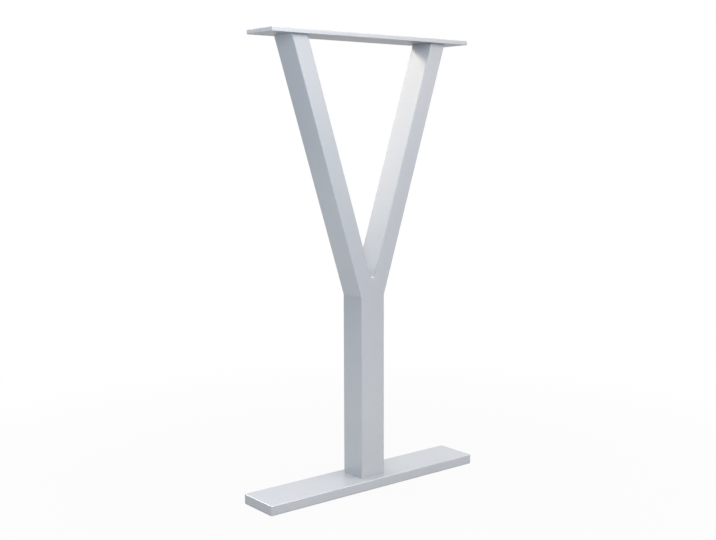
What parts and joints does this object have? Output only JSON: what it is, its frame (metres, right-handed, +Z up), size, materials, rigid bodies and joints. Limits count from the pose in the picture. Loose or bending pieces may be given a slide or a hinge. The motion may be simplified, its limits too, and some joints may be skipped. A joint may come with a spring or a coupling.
{
  "type": "desk leg",
  "caption": "Welded steel Y-shaped desk leg: flat foot bar, square post and forked arms that carry a screw-on plate for the desk top.",
  "frame": {"origin": "on the floor under the middle of the foot bar", "axes": "+X along the foot bar and the top plate, +Y from the front face to the back face, +Z up"},
  "size_m": [0.412, 0.073, 0.71],
  "materials": {
    "paint": "semi-gloss silver-grey powder coat on steel"
  },
  "bodies": {
    "root": {"foot": "paint", "post": "paint", "left_arm": "paint", "right_arm": "paint", "fork_weld": "paint", "top_plate": "paint"}
  },
  "joints": []
}
